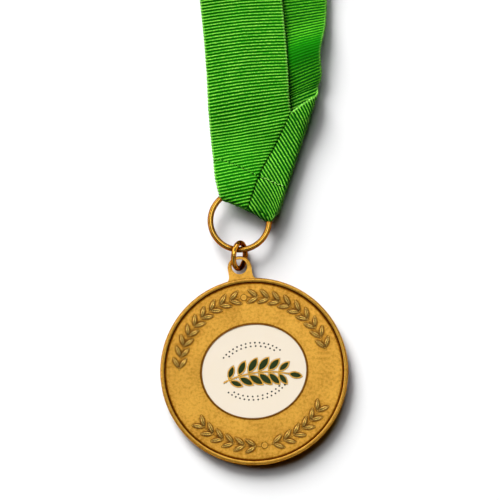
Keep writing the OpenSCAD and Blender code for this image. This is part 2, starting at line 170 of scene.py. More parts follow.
# Row of stitches through the V: u, v
STITCH_LINE = [(-13.78, 8.57), (-12.79, 9.97), (-9.86, 10.46), (-5.08, 10.33), (-0.93, 9.89), (1.03, 10.13),
               (2.96, 10.05), (6.08, 10.12), (7.33, 10.84)]

# Rows of the strands above the V: inner end x, y, z, lean of the row in degrees, outer end z,
# sag of its middle, arch of its middle up the picture
LEFT_KEYS = [
    (9.3, 74.0, 3.5, 8.0, 0.6, 0.0, 0.3),
    (9.05, 80.0, 3.8, 5.0, 0.5, 0.0, 0.5),
    (8.4, 89.5, 3.7, 4.0, 0.5, 0.0, 0.5),
    (7.5, 99.3, 3.2, 4.0, 0.5, 0.0, 0.4)]
RIGHT_KEYS = [
    (17.9, 78.6, 3.0, 22.5, 0.3, -0.1, 0.0),
    (17.97, 81.8, 3.5, 22.0, 0.3, -0.2, 0.1),
    (17.7, 85.4, 3.9, 20.0, 0.3, -0.3, 0.2),
    (18.15, 88.6, 3.9, 17.5, 0.3, -0.3, 0.2),
    (18.9, 92.0, 3.5, 14.0, 0.3, -0.2, 0.2),
    (19.3, 96.0, 2.8, 10.0, 0.3, -0.2, 0.2),
    (19.5, 101.0, 2.5, 6.0, 0.3, -0.1, 0.1)]
# Distances along the neck loop at which it takes over
LEFT_JOIN = 10.0
RIGHT_JOIN = 14.0

# Bumps and dents of the strands: x, y, reach in x, reach in y, rise
LEFT_BUMPS = [(-2.6, 90.0, 2.2, 12.0, 0.35)]
RIGHT_BUMPS = [(13.0, 87.0, 4.0, 3.0, 0.45), (13.5, 93.5, 4.0, 2.6, -0.3)]
# Lengths over which a strand's columns become even and its rows straight, and how far past the join
# the loop's row lies that gives the strand its way there
EVEN_AFTER = 12
STRAIGHT_AFTER = 9
PAST_JOIN = 6


def turned(x, y, angle):
    """A place turned about the origin by an angle in radians."""
    return x * math.cos(angle) - y * math.sin(angle), x * math.sin(angle) + y * math.cos(angle)


def ease(x, start, end):
    """0 up to the start and 1 from the end on, with a soft passage between them.

    Where a fold changes along the V, its limits are places on the V in millimetres."""
    f = np.clip((x - start) / (end - start), 0, 1)
    return f * f * (3 - 2 * f)


def bell(x, reach):
    """1 at 0, with a soft fall to 0 on both sides."""
    return np.exp(-(x / reach) ** 2)


def in_v(u, v, z):
    """Points of the V's frame in the part's frame."""
    east, north = turned(u, v, -SEAM_LEAN)
    return np.stack([SEAM_FOOT[0] + east, SEAM_FOOT[1] + north, z + 0 * u], axis=-1)


def bow(v):
    """Where the seam is across the V's frame, since it bows to the left."""
    return -SEAM_BOW * bell(v - BOW_AT, BOW_REACH)


def seam_gap(v):
    """Half of the gap between the halves of the V, which close up over the large ring."""
    return SEAM_GAP_OVER_RING + (SEAM_GAP - SEAM_GAP_OVER_RING) * ease(v, 6, 9)


def tent(u, v):
    """1 where the ribbon lies over the large ring, falling to 0 away from it."""
    return 1 - ease(np.hypot(u - RING_UV[0], v - RING_UV[1]), *RING_TENT)


def near_line(u, v, line):
    """Distance from a line of points."""
    best = np.full(np.shape(u), 1e3)
    for (a, b), (c, d) in zip(line, line[1:]):
        length = math.hypot(c - a, d - b)
        f = np.clip(((u - a) * (c - a) + (v - b) * (d - b)) / length ** 2, 0, 1)
        best = np.minimum(best, np.hypot(u - a - f * (c - a), v - b - f * (d - b)))
    return best


def front_z(u, v):
    """Height of the middle of the front layer of the V."""
    past_edge = (u - BACK_EDGE[0]) * BACK_EDGE_N[0] + (v - BACK_EDGE[1]) * BACK_EDGE_N[1]
    low = FRONT_Z + BACK_RISE * ease(past_edge, -4, 1)
    low = low + FLAP_RISE * ease(v, 11.5, 8.5) * ease(np.abs(u), 4.5, 1.5)
    low = low + STRAND_RISE * ease(v, 17, 29) * ease(u, -10, 0)
    z = low + (OVER_RING_Z - low) * tent(u, v)
    return z - STITCH_DIP * bell(near_line(u, v, STITCH_LINE), STITCH_DIP_REACH)


def crease_v(u):
    """The bottom crease, which drops a little to the right and the left."""
    return CREASE_V - CREASE_RIGHT_DROP * ease(u, 0.5, 6.5) - CREASE_LEFT_DROP * ease(u, -4.5, -7.5)


def over_bottom_crease(u, v):
    """Folds the flat V behind along its bottom crease: gives u, v, z."""
    crease = crease_v(u)
    beyond = crease - v
    turn = np.clip(beyond / CREASE_R, 0, math.pi)
    past = np.maximum(0, beyond - math.pi * CREASE_R)
    folded_v = crease - CREASE_R * np.sin(turn) + past
    flap_z = (CREASE_Z - CREASE_R) - FLAP_FALL * ease(folded_v, 5.3, 9.3)
    folded_z = np.where(past > 0, flap_z, CREASE_Z + CREASE_R * np.cos(turn))
    return u, np.where(beyond > 0, folded_v, v), np.where(beyond > 0, folded_z, front_z(u, v))


def side_place(u, v):
    """Distances across and along the line of the side crease's outermost points."""
    return turned(u - SIDE_U, v, -SIDE_LEAN)


def side_radius(along):
    """Half of the side crease's height: more at the foot, where it goes round the layers there."""
    return SIDE_R + FOOT_R_MORE * ease(along, 14, 4)


def side_back(along):
    """Height of the layer behind at the side crease, which stands clear of the table."""
    return BACK_Z + BACK_RISES[0] * ease(along, 3, 15) + BACK_RISES[1] * ease(along, 24, 32)


def side_axis(along):
    """Distance of the side crease's axis inside the line of its outermost points."""
    return SIDE_REACH + WALL / 2 + FOOT_IN * ease(along, 4.5, -0.5)


def over_side_crease(u, v, z):
    """Folds the right of the V behind along its side crease."""
    across, along = side_place(u, v)
    r, back = side_radius(along), side_back(along)
    top = back + 2 * r
    past = across + side_axis(along)
    z = z + (top - front_z(u, v)) * ease(past, -7, 0) * np.where(v > crease_v(u), 1, 0)
    bend_r = (SIDE_REACH + r) / 2
    turn = np.clip(past / bend_r, 0, math.pi * ease(along, 1.3, 5.5))
    straight = np.maximum(0, past - turn * bend_r)
    drop = np.clip(top - z, 0, r)
    out = -side_axis(along) + SIDE_REACH * np.sin(turn) + straight * np.cos(turn)
    down = back + r + (r - drop) * np.cos(turn) - straight * np.sin(turn)
    settled = down - (down - BACK_Z) * ease(straight, 0.5, 11.5)
    down = np.where(turn > BEHIND_FROM, settled, down)
    u, v = turned(np.where(past > 0, out, across), along, SIDE_LEAN)
    return SIDE_U + u, v, np.where(past > 0, down, z)


def even_row(point, length):
    """Points of a row and their distances along it, closer together where the row bends."""
    t = np.linspace(0, length, ROW_SAMPLES)
    p = point(t)
    step = np.diff(p, axis=0)
    size = np.linalg.norm(step, axis=1) + 1e-9
    way = step / size[:, None]
    bend = np.arccos(np.clip(np.sum(way[1:] * way[:-1], axis=1), -1, 1))
    weight = size / RIBBON_W
    weight[1:] += bend * BEND_WEIGHT
    total = np.concatenate([[0], np.cumsum(weight)])
    edge = min(SELVAGE_W, length / 4)
    inner = np.interp([edge, length - edge], t, total)
    at = np.interp(np.linspace(inner[0], inner[1], COLUMNS - 1), total, t)
    at = np.concatenate([[0], at, [length]])
    return point(at), at


def fine_steps(length):
    """Distances along a row at which its end is looked for."""
    return np.linspace(0, length, round(max(length, RIBBON_W) / FINE_STEP) + 1)


def left_row(v_start):
    """A row of the left half of the V, from the seam to the left selvage."""

    def place(t):
        u, v = -t * math.cos(RIB_LEAN), v_start - t * math.sin(RIB_LEAN)
        return u + bow(v) - seam_gap(v), v

    def point(t):
        u, v, z = over_bottom_crease(*place(t))
        return in_v(u, v, z - LEFT_DIP * bell(t, LEFT_DIP_REACH))

    t = fine_steps(LONGEST_ROW)
    u, v = place(t)
    inside = u > np.interp(v, [p[0] for p in LEFT_SELVAGE], [p[1] for p in LEFT_SELVAGE])
    length = t[-1] if inside.all() else t[np.argmin(inside)]
    return point, max(length, SHORTEST_ROW)


def right_place(u_start, v_start, t):
    """A place on a row of the right half: straight, but the row bends down just before the side crease."""
    u, v = u_start + t * math.cos(RIB_LEAN), v_start - t * math.sin(RIB_LEAN)
    across, along = side_place(u, v)
    bend = EDGE_BEND * np.exp(np.minimum(across, 0) / EDGE_BEND_REACH)
    bend = bend * (1 - EDGE_BEND_LESS * (ease(along, 9.5, 12.5) - ease(along, 23, 26)))
    right, down = turned(0, -bend, SIDE_LEAN)
    return u + right + bow(v) + seam_gap(v), v + down


def right_length(u_start, v_start):
    """Length of a row of the right half: whole where it goes round the side crease."""
    natural = RIBBON_W
    if u_start <= 0:
        natural = max(SHORTEST_ROW, RIBBON_W - (V_TOP - v_start) * math.sin(RIB_LEAN))
    t = fine_steps(natural)
    u, v = right_place(u_start, v_start, t)
    across, along = side_place(u, v)
    most = FOOT_END + NO_END * ease(along, 2.0, 4.6) ** 2
    foot = crease_v(u) - CREASE_R
    corner = CORNER_U - CORNER_IN * ease(v, foot, foot - 0.9)
    fits = (across + side_axis(along) < most) & ((v > foot) | (u < corner))
    return natural if fits.all() else max(SHORTEST_ROW, t[np.argmin(fits)])


def right_row(u_start, v_start):
    """A row of the right half of the V, from the seam or the inner selvage, round the side crease."""

    def point(t):
        u, v, z = over_bottom_crease(*right_place(u_start, v_start, t))
        u, v, z = over_side_crease(u, v, z)
        dip = RIGHT_DIP * bell(t, RIGHT_DIP_REACH) if u_start <= 0 else 0
        return in_v(u, v, z - dip)

    return point


def run(out, along, length, spread):
    """Where a straight stretch of the loop's right half gets to, and its way."""
    return out + length * math.sin(spread), along + length * math.cos(spread), spread


def arc(out, along, radius, spread, new_spread):
    """Where a bend of the loop's right half gets to when its way has turned, and that way."""
    return (out + radius * (math.cos(spread) - math.cos(new_spread)),
            along + radius * (math.sin(new_spread) - math.sin(spread)), new_spread)


# Neck loop, as in the CAD model: where it starts and how it leans; each half runs flat, bows outwards,
# runs on, and bends round to meet the other. The angles are its ways, measured from the loop's middle
LOOP_FOOT = (2.27, 99.69)
LOOP_LEAN = math.radians(0.85)
LOOP_START = 5.93
RUN_FLAT = 60.0
BOW_R = 400.0
RUN_EDGE = 150.0
LOOP_SPREAD = math.radians(4.05)
END_SPREAD = LOOP_SPREAD + math.radians(5.5)
BOW_LEN = BOW_R * (END_SPREAD - LOOP_SPREAD)
STRAIGHT_LEN = RUN_FLAT + BOW_LEN + RUN_EDGE
FLAT_END = run(LOOP_START, 0, RUN_FLAT, LOOP_SPREAD)
BOW_END = arc(*FLAT_END[:2], BOW_R, LOOP_SPREAD, END_SPREAD)
EDGE_END = run(*BOW_END[:2], RUN_EDGE, END_SPREAD)
BEND_R = EDGE_END[0] / math.cos(END_SPREAD)
BEND_LEN = BEND_R * (math.pi / 2 + END_SPREAD)
# How each strand rolls on to its edge: over what length and from what roll, what the left one is
# lifted by where it starts, the height of the middle of the flat ribbon, and the gap under it
LEFT_TURN = 150.0
RIGHT_TURN = 175.0
LEFT_ROLL = math.radians(4.5)
RIGHT_ROLL = math.radians(174)
LEFT_LIFT = 1.0
LYING_Z = 0.3
TABLE_GAP = 0.05


def loop_place(s):
    """Place of the loop's right half at a distance along it: out, along, and its way."""
    if s <= RUN_FLAT:
        return run(LOOP_START, 0, s, LOOP_SPREAD)
    if s <= RUN_FLAT + BOW_LEN:
        return arc(*FLAT_END[:2], BOW_R, LOOP_SPREAD, LOOP_SPREAD + (s - RUN_FLAT) / BOW_R)
    if s <= STRAIGHT_LEN:
        return run(*BOW_END[:2], s - RUN_FLAT - BOW_LEN, END_SPREAD)
    return arc(*EDGE_END[:2], -BEND_R, END_SPREAD, END_SPREAD - (s - STRAIGHT_LEN) / BEND_R)


def loop_row(s, side):
    """Both ends of a row of the neck loop, with no sag or arch; side -1 is the left strand."""
    place, along, spread = loop_place(s)
    turned_by = LEFT_TURN if side < 0 else RIGHT_TURN
    first = LEFT_ROLL if side < 0 else RIGHT_ROLL
    roll = first + (math.pi / 2 - first) * ease(s, 0, turned_by)
    lift = LEFT_LIFT * ease(s, RUN_FLAT, 0) if side < 0 else 0
    rise = HALF_W * math.sin(roll)
    z = lift + LYING_Z * abs(math.cos(roll)) + TABLE_GAP + rise
    out, ahead = turned(HALF_W * math.cos(roll), 0, spread)

    def xyz(out, along, z):
        east, north = turned(side * out, along, LOOP_LEAN)
        return LOOP_FOOT[0] + east, LOOP_FOOT[1] + north, z

    return xyz(place - out, along + ahead, z + rise) + xyz(place + out, along - ahead, z - rise) + (0, 0)


def key_row(x, y, z, lean, outer_z, sag, arch):
    """Both ends of a row from its inner end and its lean, its sag and its arch."""
    reach = math.sqrt(RIBBON_W ** 2 - (z - outer_z) ** 2)
    lean = math.radians(lean)
    return x, y, z, x - reach * math.cos(lean), y - reach * math.sin(lean), outer_z, sag, arch


def spline(keys, step):
    """Rows on a smooth curve through key rows, a step of the middle line apart, and their places."""
    keys = np.array(keys, float)
    middle = (keys[:, :3] + keys[:, 3:6]) / 2
    at = np.concatenate([[0], np.cumsum(np.linalg.norm(np.diff(middle, axis=0), axis=1))])
    slope = np.gradient(keys, at, axis=0)
    count = max(1, round(at[-1] / step))
    where = np.linspace(0, at[-1], count + 1)
    k = np.clip(np.searchsorted(at, where, side="right") - 1, 0, len(at) - 2)
    h = (at[k + 1] - at[k])[:, None]
    f = (where - at[k])[:, None] / h
    a, b = keys[k], keys[k + 1]
    rows = (2 * f ** 3 - 3 * f ** 2 + 1) * a + (f ** 3 - 2 * f ** 2 + f) * h * slope[k] \
        + (3 * f ** 2 - 2 * f ** 3) * b + (f ** 3 - f ** 2) * h * slope[k + 1]
    return rows, where


def row_points(row, share):
    """Points across a row at shares of its width, straight but for its sag and arch."""
    p = row[None, :3] + (row[None, 3:6] - row[None, :3]) * share[:, None]
    belly = 4 * share * (1 - share)
    p[:, 2] -= row[6] * belly
    p[:, 1] += row[7] * belly
    return p


def even_shares():
    """Shares of the width at which a row has its points."""
    edge = SELVAGE_W / RIBBON_W
    return np.concatenate([[0], np.linspace(edge, 1 - edge, COLUMNS - 1), [1]])


def strand(first, first_at, keys, join, side):
    """Rows from the V's last row, up through the key rows, to where the neck loop takes over."""
    near = [tuple(first[0]) + tuple(first[-1]) + (0, 0)] + [key_row(*key) for key in keys]
    near += [loop_row(join, side), loop_row(join + PAST_JOIN, side)]
    rows, where = spline(near, RIB_PITCH / ROWS_PER_RIB)
    last = int(np.argmin(np.linalg.norm(rows[:, :3] - np.array(near[-2][:3]), axis=1)))
    rows, where = rows[1:last + 1], where[1:last + 1]
    shares = first_at / first_at[-1]
    bent = first - row_points(np.array(near[0]), shares)
    points, across = [], []
    for row, s in zip(rows, where):
        share = shares + (even_shares() - shares) * ease(s, 0, EVEN_AFTER)
        points.append(row_points(row, share) + bent * ease(s, STRAIGHT_AFTER, 0))
        across.append(share * RIBBON_W)
    return np.array(points), np.array(across), where


def loop_half(join, side):
    """Rows of half of the neck loop."""
    half = STRAIGHT_LEN + BEND_LEN
    count = round((half - join) / (RIB_PITCH / FAR_ROWS_PER_RIB))
    where = np.linspace(join, half, count + 1)[1:]
    points = np.array([row_points(np.array(loop_row(s, side)), even_shares()) for s in where])
    return points, np.tile(even_shares() * RIBBON_W, (count, 1)), where - join


def bump(points, x, y, reach_x, reach_y, rise):
    """Raises the rows' points round a place."""
    points[:, :, 2] += rise * bell(points[:, :, 0] - x, reach_x) * bell(points[:, :, 1] - y, reach_y)


def build_ribbon():
    """Points of all rows, from the left half of the loop down to the V's tip and up the right one.

    Also gives each point's distance across the ribbon, each row's place along it, how much of a
    selvage each row's inner end is, and where along it the V's right half and the right strand start."""
    rib_step = RIB_PITCH / ROWS_PER_RIB
    v_step = rib_step / math.cos(RIB_LEAN)
    v_starts = np.linspace(V_TOP, V_TIP + TIP_MARGIN, round((V_TOP - V_TIP) / v_step) + 1)
    left = [even_row(*left_row(v)) for v in v_starts]
    starts = [(0.0, v) for v in v_starts[::-1]]
    starts += [tuple(np.array([0.0, V_TOP]) + INNER_SELVAGE_WAY * rib_step * (i + 1))
               for i in range(round(BEYOND_V / rib_step))]
    lengths = np.array([right_length(u, v) for u, v in starts])
    window = 2 * EVEN_OUT + 1
    lengths = np.convolve(np.pad(lengths, EVEN_OUT, mode="edge"), np.ones(window) / window, "valid")
    right = [even_row(right_row(u, v), float(length)) for (u, v), length in zip(starts, lengths)]

    def half_v(rows, s):
        return (np.array([p for p, at in rows]), np.array([RIBBON_W - at[-1] + at for p, at in rows]), s)

    def reverse(part, start):
        points, across, s = part
        return points[::-1], across[::-1], start - s[::-1]

    def shift(part, start):
        points, across, s = part
        return points, across, start + s

    left_near = strand(left[0][0], left[0][1], LEFT_KEYS, LEFT_JOIN, -1)
    right_near = strand(right[-1][0], right[-1][1], RIGHT_KEYS, RIGHT_JOIN, 1)
    left_far, right_far = loop_half(LEFT_JOIN, -1), loop_half(RIGHT_JOIN, 1)
    for strand_points, bumps in ((left_near[0], LEFT_BUMPS), (right_near[0], RIGHT_BUMPS)):
        for place in bumps:
            bump(strand_points, *place)

    v_len = rib_step * (len(left) - 1)
    parts = [
        reverse(left_far, -left_near[2][-1]), reverse(left_near, 0.0),
        half_v(left, rib_step * np.arange(len(left))),
        half_v(right, v_len + rib_step * (1 + np.arange(len(right))))]
    parts += [shift(right_near, parts[-1][2][-1]), shift(right_far, parts[-1][2][-1] + right_near[2][-1])]
    # How many of each part's first rows start in the seam
    in_seam = [0, 0, len(left), len(left), 0, 0]
    selvage = [np.where(np.arange(len(p[2])) < n, 0.0, 1.0) for p, n in zip(parts, in_seam)]
    marks = (float(parts[3][2][0]), float(parts[4][2][0]))
    return [np.concatenate(c) for c in zip(*parts)] + [np.concatenate(selvage), marks]


def unit(vectors):
    return vectors / np.maximum(np.linalg.norm(vectors, axis=2, keepdims=True), 1e-9)


def thick_band(points, across, along, selvage):
    """The two faces of the band, with its ribs, as points."""
    cols = points.shape[1]
    ahead = np.roll(points, -1, axis=0) - np.roll(points, 1, axis=0)
    side = np.empty_like(points)
    side[:, 1:-1] = points[:, 2:] - points[:, :-2]
    side[:, 0] = points[:, 1] - points[:, 0]
    side[:, -1] = points[:, -1] - points[:, -2]
    normal = unit(np.cross(side, ahead))
    for _ in range(2):
        normal = unit(normal + 0.5 * (np.roll(normal, 1, axis=0) + np.roll(normal, -1, axis=0)))
    way = unit(side)
    rib = (0.5 + 0.5 * np.cos(math.tau * along / RIB_PITCH))[:, None]
    lift = np.tile(WALL / 2 - RIB_RISE + RIB_RISE * rib, (1, cols))
    lift[:, -1] *= SELVAGE_THIN
    lift[:, 0] *= SEAM_THIN + (SELVAGE_THIN - SEAM_THIN) * selvage
    points = points.copy()
    points[:, -1] += way[:, -1] * SELVAGE_LOOP * rib
    points[:, 0] -= way[:, 0] * (SEAM_LOOP + (SELVAGE_LOOP - SEAM_LOOP) * selvage[:, None]) * rib
    return points + normal * lift[:, :, None], points - normal * lift[:, :, None]


def add_mesh(name, verts, faces):
    """A smooth-shaded object from points in metres."""
    mesh = bpy.data.meshes.new(name)
    mesh.from_pydata([tuple(v) for v in verts], [], faces)
    mesh.update()
    for polygon in mesh.polygons:
        polygon.use_smooth = True
    return new_object(name, mesh)


def layer_faces(first, rows, cols, closed):
    """Faces of a body whose top and underside are grids of points, numbered from first.

    The grids are closed where the last row meets the first one; otherwise the body has two ends."""
    under = rows * cols
    faces = []
    for i in range(rows if closed else rows - 1):
        a, b = i * cols, (i + 1) % rows * cols
        for k in range(cols - 1):
            faces.append((a + k, a + k + 1, b + k + 1, b + k))
            faces.append((under + a + k + 1, under + a + k, under + b + k, under + b + k + 1))
        faces.append((under + a, a, b, under + b))
        a, b = a + cols - 1, b + cols - 1
        faces.append((a, under + a, under + b, b))
    if not closed:
        for k in range(cols - 1):
            end = under - cols + k
            faces.append((k + 1, k, under + k, under + k + 1))
            faces.append((end + 1, under + end + 1, under + end, end))
    return [tuple(first + k for k in face) for face in faces]


def ribbon_object():
    """The closed band, its length, and the places along it where its looks change."""
    points, across, along, selvage, marks = build_ribbon()
    top, low = thick_band(points, across, along, selvage)
    cols = points.shape[1]
    verts = np.concatenate([top.reshape(-1, 3), low.reshape(-1, 3)])
    faces = layer_faces(0, len(points), cols, closed=True)
    obj = add_mesh("grosgrain_ribbon", verts * MM, faces)
    mesh = obj.data
    layer = mesh.uv_layers.new(name="cloth")
    length = along[-1] - along[0] + RIB_PITCH / FAR_ROWS_PER_RIB
    index = np.empty(len(mesh.loops), dtype=np.int32)
    mesh.loops.foreach_get("vertex_index", index)
    flat = np.stack([np.tile(across.reshape(-1), 2)[index],
                     np.tile(np.repeat(along, cols), 2)[index]], axis=1)
    # In the faces that close the band, the first row also has the place after the last one
    closing = np.repeat(np.ptp(flat.reshape(-1, 4, 2)[:, :, 1], axis=1) > length / 2, 4)
    flat[:, 1] += np.where(closing & (flat[:, 1] < along[0] + length / 2), length, 0)
    layer.data.foreach_set("uv", flat.reshape(-1).astype(np.float32))
    return obj, length, marks


def new_material(name):
    """A new material and its node tree, which is empty."""
    material = bpy.data.materials.new(name)
    material.use_nodes = True
    material.node_tree.nodes.clear()
    return material, material.node_tree


def shader(name, base, rough, metal=0.0, gloss=0.5):
    """A new material with one Principled shader: gives it, its node tree and the shader."""
    material, tree = new_material(name)
    bsdf = node(tree, "ShaderNodeBsdfPrincipled", {"Base Color": (*base, 1), "Roughness": rough,
                                                   "Metallic": metal, "Specular IOR Level": gloss})
    node(tree, "ShaderNodeOutputMaterial", {0: bsdf.outputs[0]})
    return material, tree, bsdf


def node(tree, kind, inputs=None, **settings):
    """A new shader node, whose inputs are values or the outputs of other nodes."""
    made = tree.nodes.new(kind)
    for key, value in settings.items():
        setattr(made, key, value)
    for key, value in (inputs or {}).items():
        if hasattr(value, "is_output"):
            tree.links.new(value, made.inputs[key])
        else:
            made.inputs[key].default_value = value
    return made


def maths(tree, operation, *values, clamp=False):
    made = node(tree, "ShaderNodeMath", dict(enumerate(values)), operation=operation, use_clamp=clamp)
    return made.outputs[0]


def vector_maths(tree, operation, *values):
    made = node(tree, "ShaderNodeVectorMath", dict(enumerate(values)), operation=operation)
    return made.outputs["Value" if operation in ("DOT_PRODUCT", "LENGTH") else "Vector"]


def passage(tree, value, start, end, low=0.0, high=1.0, kind="LINEAR"):
    """Runs from low to high while a value runs from start to end, and stays there beyond."""
    return node(tree, "ShaderNodeMapRange", {"Value": value, "From Min": start, "From Max": end,
                                             "To Min": low, "To Max": high},
                interpolation_type=kind).outputs[0]


def noise(tree, place, scale, detail, roughness=0.5):
    return node(tree, "ShaderNodeTexNoise", {"Vector": place, "Scale": scale, "Detail": detail,
                                             "Roughness": roughness}).outputs["Fac"]


def openness(tree, reach, **settings):
    """How open a point's surroundings are, within a reach in metres, from 0 to 1."""
    made = node(tree, "ShaderNodeAmbientOcclusion", {"Distance": reach}, samples=8, **settings)
    return made.outputs["AO"]


def mix_colour(tree, factor, a, b):
    return node(tree, "ShaderNodeMix", {0: factor, 6: a, 7: b}, data_type="RGBA").outputs[2]


def tone_ramp(tree, value, tones):
    """Colour that runs through three tones while a value goes from 0 to 1."""
    ramp = node(tree, "ShaderNodeValToRGB", {0: value})
    ramp.color_ramp.elements.new(0.5)
    for element, at, tone in zip(ramp.color_ramp.elements, (0, 0.5, 1), tones):
        element.position = at
        element.color = (*tone, 1)
    return ramp.outputs[0]


def set_bump(tree, bsdf, height, distance, strength):
    bump = node(tree, "ShaderNodeBump", {"Height": height, "Distance": distance, "Strength": strength})
    tree.links.new(bump.outputs[0], bsdf.inputs["Normal"])


# Tones of the ribbon from the painted shade between its ribs to the painted highlight on their crests, how
# the right strand's red, green and blue differ where it is painted as in shade, and the tones of the
# selvages' loops and of the painted shade in deep crevices
RIB_SHADE_TO_HIGHLIGHT_TONES = [(0.0, 0.037, 0.0), (0.013, 0.28, 0.001), (0.29, 0.67, 0.068)]
SHADED_STRAND_TINT = (-0.3, 0.12, -0.5)
LOOP_TONE = (0.24, 0.62, 0.09, 1)
CREVICE_SHADE_TONE = (0.0, 0.01, 0.0, 1)
CREVICE_SHADE_REACH = 0.0009
# Scales of its clouds, beads and waves across and along it, with their detail, the waves' height, and
# the width of a thread
CLOUDS = (0.3, 0.3, 3.0)
BEADS = (3.2, 1.2, 1.0)
WAVES = (1.1, 0.5, 1.0)
WAVE_RISE = 0.22
THREAD_PITCH = 0.3
# How sharp and how bright the ribs' painted highlights are against the painted shade between them, and what
# is added to that in the V's right half, on the right strand painted as in shade, and in the V's left half
RIB_SHARP = 1.2
RIGHT_HALF_SHADE_SHARP = 0.9
SHADED_STRAND_SHARP = 0.5
RIB_GAIN = 0.85
RIGHT_HALF_HIGHLIGHT_GAIN = 0.13
SHADED_STRAND_GAIN = 0.22
DIMMER_GAIN = -0.06
# The least share of the crests' tone in the painted shade between the ribs on the left, and where both of
# the right's painted looks end along the loop
GROOVE_SHARE = 0.17
RIGHT_END = (40, 90)
# The right strand has a patch of painted shade, where its ribs are painted smooth: how far up, its reach,
# how smooth, and its tone
SHADE_PATCH_AT = 12.0
SHADE_PATCH_REACH = 4.2
SHADE_PATCH_MOST = 0.75
SHADE_PATCH_SHARE = 0.27


def ribbon_material(right_half_at, right_strand_at):
    """Grosgrain: beaded ribs with painted highlights on their crests and painted shade between them, and
    paler loops on the selvages.

    The V's right half has stronger painted highlights and shade on its ribs, and the right strand is
    painted as in shade, greener and with less yellow, with a patch of smoother painted shade in one place."""
    material, tree, bsdf = shader("grosgrain", (0.05, 0.36, 0.012), 0.6, gloss=0.08)
    uv = node(tree, "ShaderNodeUVMap", uv_map="cloth").outputs[0]
    split = node(tree, "ShaderNodeSeparateXYZ", {0: uv})
    across, along = split.outputs[0], split.outputs[1]

    def times(a, b):
        return maths(tree, "MULTIPLY", a, b)

    def plus(factor, value, base):
        return maths(tree, "MULTIPLY_ADD", value, factor, base)

    def cloth_noise(scale_across, scale_along, detail):
        return noise(tree, vector_maths(tree, "MULTIPLY", uv, (scale_across, scale_along, 1)), 1, detail)

    # Where along the band each look holds, from 0 to 1
    right_end = passage(tree, along, *(right_strand_at + s for s in RIGHT_END), 1, 0)
    # The right strand, whose ribs are painted as in shade, with less yellow in their highlights
    shaded_strand = times(passage(tree, along, right_strand_at - 2, right_strand_at + 2), right_end)
    right = times(passage(tree, along, right_half_at - 0.1, right_half_at + 0.1), right_end)
    # The V's right half, whose ribs get stronger painted highlights and painted shade
    right_half_painted_light = maths(tree, "SUBTRACT", right, shaded_strand)
    dimmer = times(passage(tree, along, 0, 12),
                   passage(tree, along, right_half_at - 0.1, right_half_at, 1, 0))
    # A patch of painted shade on the right strand, where its ribs are painted smooth
    off = maths(tree, "DIVIDE", maths(tree, "SUBTRACT", along, right_strand_at + SHADE_PATCH_AT), SHADE_PATCH_REACH)
    shade_patch = times(maths(tree, "EXPONENT", times(times(off, off), -1)), SHADE_PATCH_MOST)

    cloudy, beads = cloth_noise(*CLOUDS), cloth_noise(*BEADS)
    shaken = plus(WAVE_RISE, cloth_noise(*WAVES), along)
    # Painted highlights on the ribs' crests and painted shade between them
    crest = plus(0.5, maths(tree, "COSINE", times(shaken, math.tau / RIB_PITCH)), 0.5)
    sharp = times(plus(RIGHT_HALF_SHADE_SHARP, right_half_painted_light, RIB_SHARP), plus(SHADED_STRAND_SHARP, shaded_strand, 1))
    crest = maths(tree, "POWER", crest, sharp)
    bright = times(passage(tree, beads, 0.33, 0.68, 0.72, 1.12),
                   passage(tree, cloudy, 0.3, 0.7, 1.06, 0.88))
    gain = plus(DIMMER_GAIN, dimmer, plus(SHADED_STRAND_GAIN, shaded_strand, plus(RIGHT_HALF_HIGHLIGHT_GAIN, right_half_painted_light, RIB_GAIN)))
    share = times(crest, times(bright, gain))
    share = maths(tree, "MAXIMUM", share, plus(-GROOVE_SHARE, right, GROOVE_SHARE))
    share = plus(1, times(shade_patch, maths(tree, "SUBTRACT", SHADE_PATCH_SHARE, share)), share)
    # Painted shade on the right strand: less red and blue, a little more green
    tint = vector_maths(tree, "MULTIPLY_ADD", shaded_strand, SHADED_STRAND_TINT, (1, 1, 1))
    tones = vector_maths(tree, "MULTIPLY", tone_ramp(tree, share, RIB_SHADE_TO_HIGHLIGHT_TONES), tint)

    from_edge = maths(tree, "MINIMUM", across, maths(tree, "SUBTRACT", RIBBON_W, across))
    loops = times(passage(tree, from_edge, 0.5, 0.25, 0, 0.7), passage(tree, beads, 0.35, 0.6, 0.2, 1))
    colour = mix_colour(tree, loops, tones, LOOP_TONE)
    # Painted shade in deep crevices, where a point is closed in
    crevice_shade = passage(tree, openness(tree, CREVICE_SHADE_REACH, only_local=True), 0.25, 0.75, 0.25, 1)
    tree.links.new(mix_colour(tree, crevice_shade, CREVICE_SHADE_TONE, colour), bsdf.inputs["Base Color"])
    thread = maths(tree, "COSINE", times(across, math.tau / THREAD_PITCH))
    set_bump(tree, bsdf, plus(0.012, thread, times(beads, 0.05)), MM, 0.8)
    return material


# Antique gold: scale and detail of its blotches, specks and grain; the reach of the patina and painted
# shade in recesses and near other parts and of the wear and painted highlight on edges, with the openness
# at which they set in and their gains; the depth of the grain; the tones of the brightened edges and of
# glances.
# Reaches and depths are in metres
BLOTCHES = (170.0, 4.0)
SPECKS = (1300.0, 3.0)
GRAIN = (3500.0, 2.0)
PATINA_AND_SHADE_REACH = 0.0018
PATINA_AND_SHADE_FROM = 0.92
PATINA_AND_SHADE_GAIN = 4.5
WEAR_AND_HIGHLIGHT_REACH = 0.00035
WEAR_AND_HIGHLIGHT_FROM = 0.9
WEAR_AND_HIGHLIGHT_GAIN = 1.6
GRAIN_DEPTH = 0.00006
WORN_HIGHLIGHT_TONE = (1.0, 0.64, 0.18, 1)
GLANCE_TONE = (0.85, 0.5, 0.2, 1)


